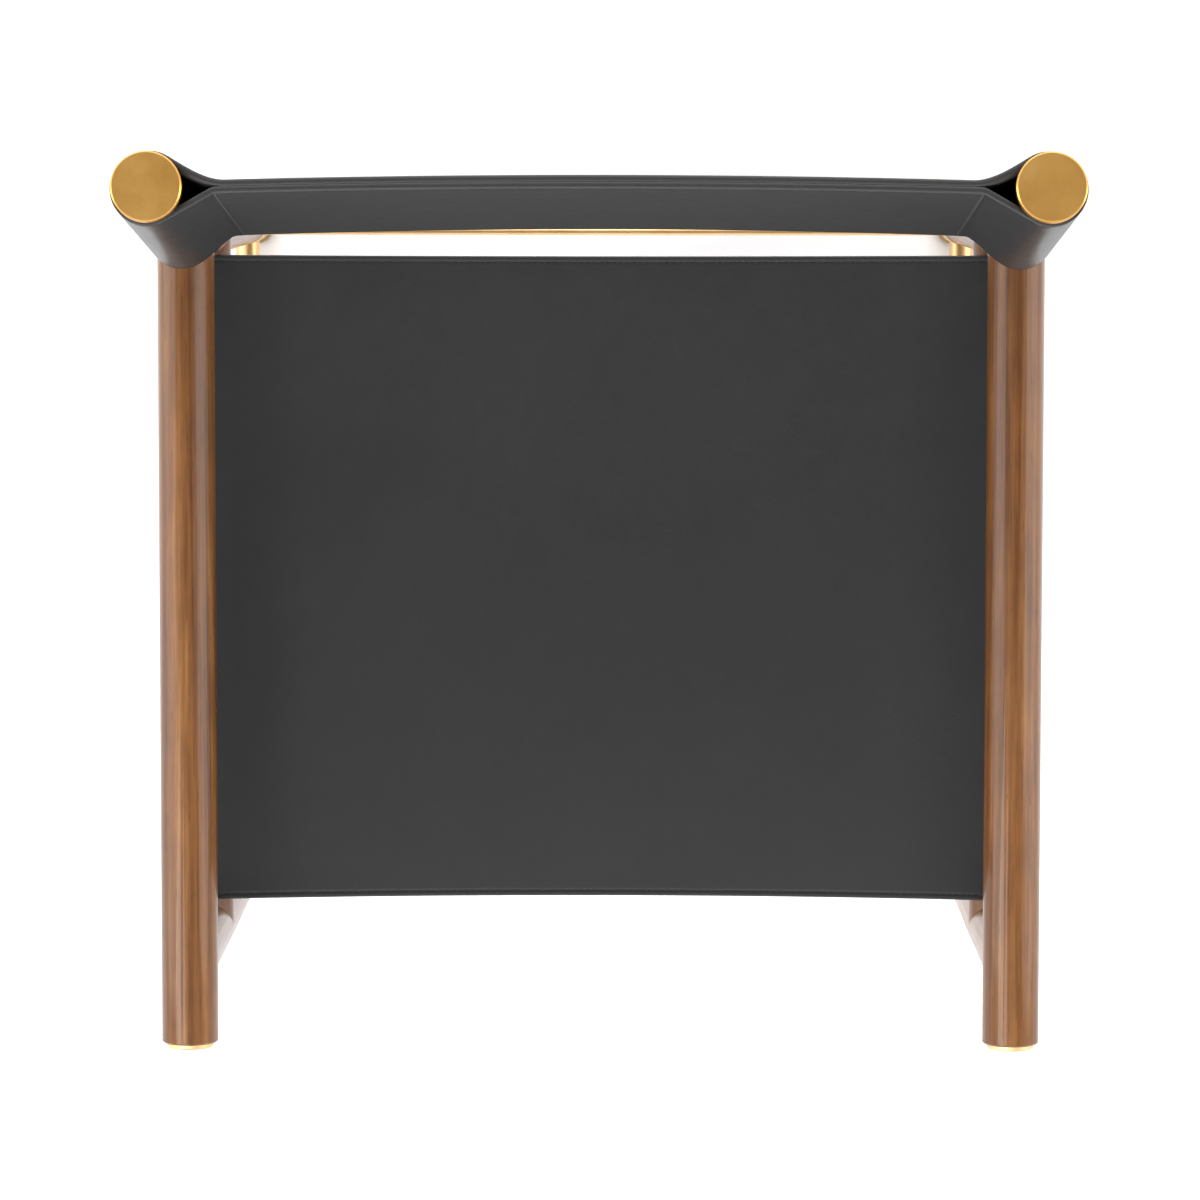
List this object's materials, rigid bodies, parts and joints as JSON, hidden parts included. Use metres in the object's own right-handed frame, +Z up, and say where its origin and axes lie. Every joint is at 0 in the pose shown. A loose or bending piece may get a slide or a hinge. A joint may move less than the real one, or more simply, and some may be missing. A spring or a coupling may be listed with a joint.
{
  "type": "sling armchair",
  "caption": "Armchair with round wooden side frames, brass feet and end discs, a stitched leather sling seat and a doubled leather back band looped round two reclined posts.",
  "frame": {"origin": "on the floor under the middle of the armchair's bounding box", "axes": "+X to the right of someone looking from the chair's front to its back, +Y towards the chair's back, +Z up"},
  "size_m": [0.6314, 0.6352, 0.8606],
  "materials": {
    "wood": "turned hardwood, warm walnut brown, glossy clear lacquer",
    "dowel_wood": "plain hidden hardwood dowel",
    "brass": "satin antique brass",
    "leather": "thick charcoal black saddle leather, satin, stitched edges",
    "glide": "dark plastic glide",
    "steel": "zinc plated steel"
  },
  "bodies": {
    "root": {"arm_left": "wood", "arm_right": "wood", "arm_cap_left": "brass", "arm_cap_right": "brass", "front_leg_left": "wood", "front_leg_right": "wood", "back_leg_left": "wood", "back_leg_right": "wood", "back_post_left": "wood", "back_post_right": "wood", "post_dowel_left": "dowel_wood", "post_dowel_right": "dowel_wood", "post_cap_left": "brass", "post_cap_right": "brass", "seat_rail_left": "wood", "seat_rail_right": "wood", "front_cross_rail": "wood", "back_bar": "brass", "side_stretcher_left": "brass", "side_stretcher_right": "brass", "foot_front_left": "brass", "foot_front_right": "brass", "foot_back_left": "brass", "foot_back_right": "brass", "glide_front_left": "glide", "glide_front_right": "glide", "glide_back_left": "glide", "glide_back_right": "glide", "clamp_strip_left": "steel", "clamp_strip_right": "steel", "sling_screws_left": "steel", "sling_screws_right": "steel", "back_band": "leather", "seat_sling": "leather"}
  },
  "joints": []
}
